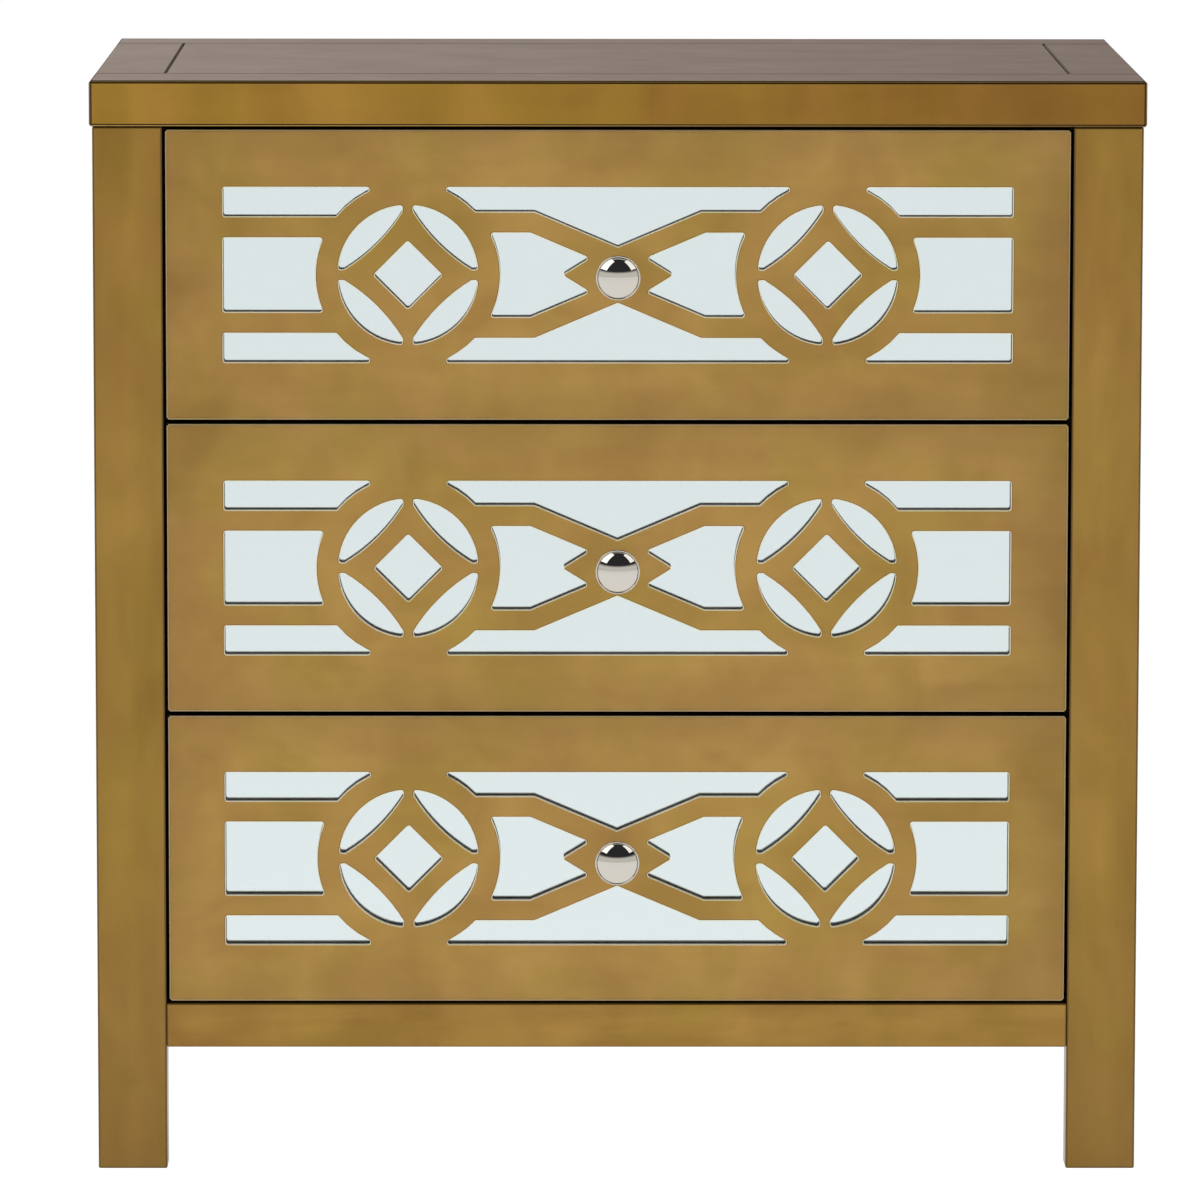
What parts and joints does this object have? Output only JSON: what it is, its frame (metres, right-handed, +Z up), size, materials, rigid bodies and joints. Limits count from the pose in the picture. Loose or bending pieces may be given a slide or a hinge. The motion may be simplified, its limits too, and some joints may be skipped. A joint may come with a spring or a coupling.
{
  "type": "mirrored nightstand",
  "caption": "Small chest of drawers for a bedside: gold-finished wood, mirrored fretwork drawer fronts, round polished knobs, straight square legs.",
  "frame": {"origin": "on the floor, under the middle of the whole chest with its knobs", "axes": "+Z up, +X to the right of someone who faces the drawers, -Y the way the drawers open"},
  "size_m": [0.71, 0.456, 0.742],
  "materials": {
    "gold_finish": "satin antique gold paint on wood",
    "mirror_glass": "polished",
    "polished_metal": "polished",
    "zinc_steel": "zinc plated",
    "drawer_wood": "clear lacquered birch",
    "plywood": "thin plywood, unpolished",
    "dowel_wood": "plain beech"
  },
  "bodies": {
    "case": {"top_front_board": "gold_finish", "top_rear_board": "gold_finish", "top_left_end_board": "gold_finish", "top_right_end_board": "gold_finish", "top_panel": "gold_finish", "front_left_leg": "gold_finish", "front_right_leg": "gold_finish", "rear_left_leg": "gold_finish", "rear_right_leg": "gold_finish", "left_side_panel": "gold_finish", "right_side_panel": "gold_finish", "back_panel": "plywood", "bottom_panel": "plywood", "front_bottom_rail": "gold_finish", "rear_bottom_rail": "gold_finish", "front_top_stretcher": "drawer_wood", "rear_top_stretcher": "drawer_wood", "upper_divider_rail": "drawer_wood", "lower_divider_rail": "drawer_wood", "corner_blocks": "drawer_wood", "slide_cleats": "drawer_wood", "rail_dowels": "dowel_wood", "top_screws": "zinc_steel", "back_screws": "zinc_steel", "slide_screws": "zinc_steel", "left_outer_channels": "zinc_steel", "right_outer_channels": "zinc_steel"},
    "drawer_1": {"drawer_1_fretwork": "gold_finish", "drawer_1_mirror": "mirror_glass", "drawer_1_front_board": "gold_finish", "drawer_1_left_side": "drawer_wood", "drawer_1_right_side": "drawer_wood", "drawer_1_back": "drawer_wood", "drawer_1_bottom": "plywood", "drawer_1_knob": "polished_metal", "drawer_1_knob_bolt": "zinc_steel", "drawer_1_inner_channels": "zinc_steel"},
    "drawer_1_slides": {"drawer_1_middle_channels": "zinc_steel"},
    "drawer_2": {"drawer_2_fretwork": "gold_finish", "drawer_2_mirror": "mirror_glass", "drawer_2_front_board": "gold_finish", "drawer_2_left_side": "drawer_wood", "drawer_2_right_side": "drawer_wood", "drawer_2_back": "drawer_wood", "drawer_2_bottom": "plywood", "drawer_2_knob": "polished_metal", "drawer_2_knob_bolt": "zinc_steel", "drawer_2_inner_channels": "zinc_steel"},
    "drawer_2_slides": {"drawer_2_middle_channels": "zinc_steel"},
    "drawer_3": {"drawer_3_fretwork": "gold_finish", "drawer_3_mirror": "mirror_glass", "drawer_3_front_board": "gold_finish", "drawer_3_left_side": "drawer_wood", "drawer_3_right_side": "drawer_wood", "drawer_3_back": "drawer_wood", "drawer_3_bottom": "plywood", "drawer_3_knob": "polished_metal", "drawer_3_knob_bolt": "zinc_steel", "drawer_3_inner_channels": "zinc_steel"},
    "drawer_3_slides": {"drawer_3_middle_channels": "zinc_steel"}
  },
  "joints": [
    {"name": "drawer_1_slide", "type": "slide", "parent": "case", "child": "drawer_1", "axis": [0, -1, 0], "range_m": [0, 0.35]},
    {"name": "drawer_1_middle_slide", "type": "slide", "parent": "case", "child": "drawer_1_slides", "axis": [0, -1, 0], "range_m": [0, 0.175]},
    {"name": "drawer_2_slide", "type": "slide", "parent": "case", "child": "drawer_2", "axis": [0, -1, 0], "range_m": [0, 0.35]},
    {"name": "drawer_2_middle_slide", "type": "slide", "parent": "case", "child": "drawer_2_slides", "axis": [0, -1, 0], "range_m": [0, 0.175]},
    {"name": "drawer_3_slide", "type": "slide", "parent": "case", "child": "drawer_3", "axis": [0, -1, 0], "range_m": [0, 0.35]},
    {"name": "drawer_3_middle_slide", "type": "slide", "parent": "case", "child": "drawer_3_slides", "axis": [0, -1, 0], "range_m": [0, 0.175]}
  ],
  "couplings": [
    {"joint": "drawer_1_middle_slide", "follows": "drawer_1_slide", "ratio": 0.5},
    {"joint": "drawer_2_middle_slide", "follows": "drawer_2_slide", "ratio": 0.5},
    {"joint": "drawer_3_middle_slide", "follows": "drawer_3_slide", "ratio": 0.5}
  ]
}
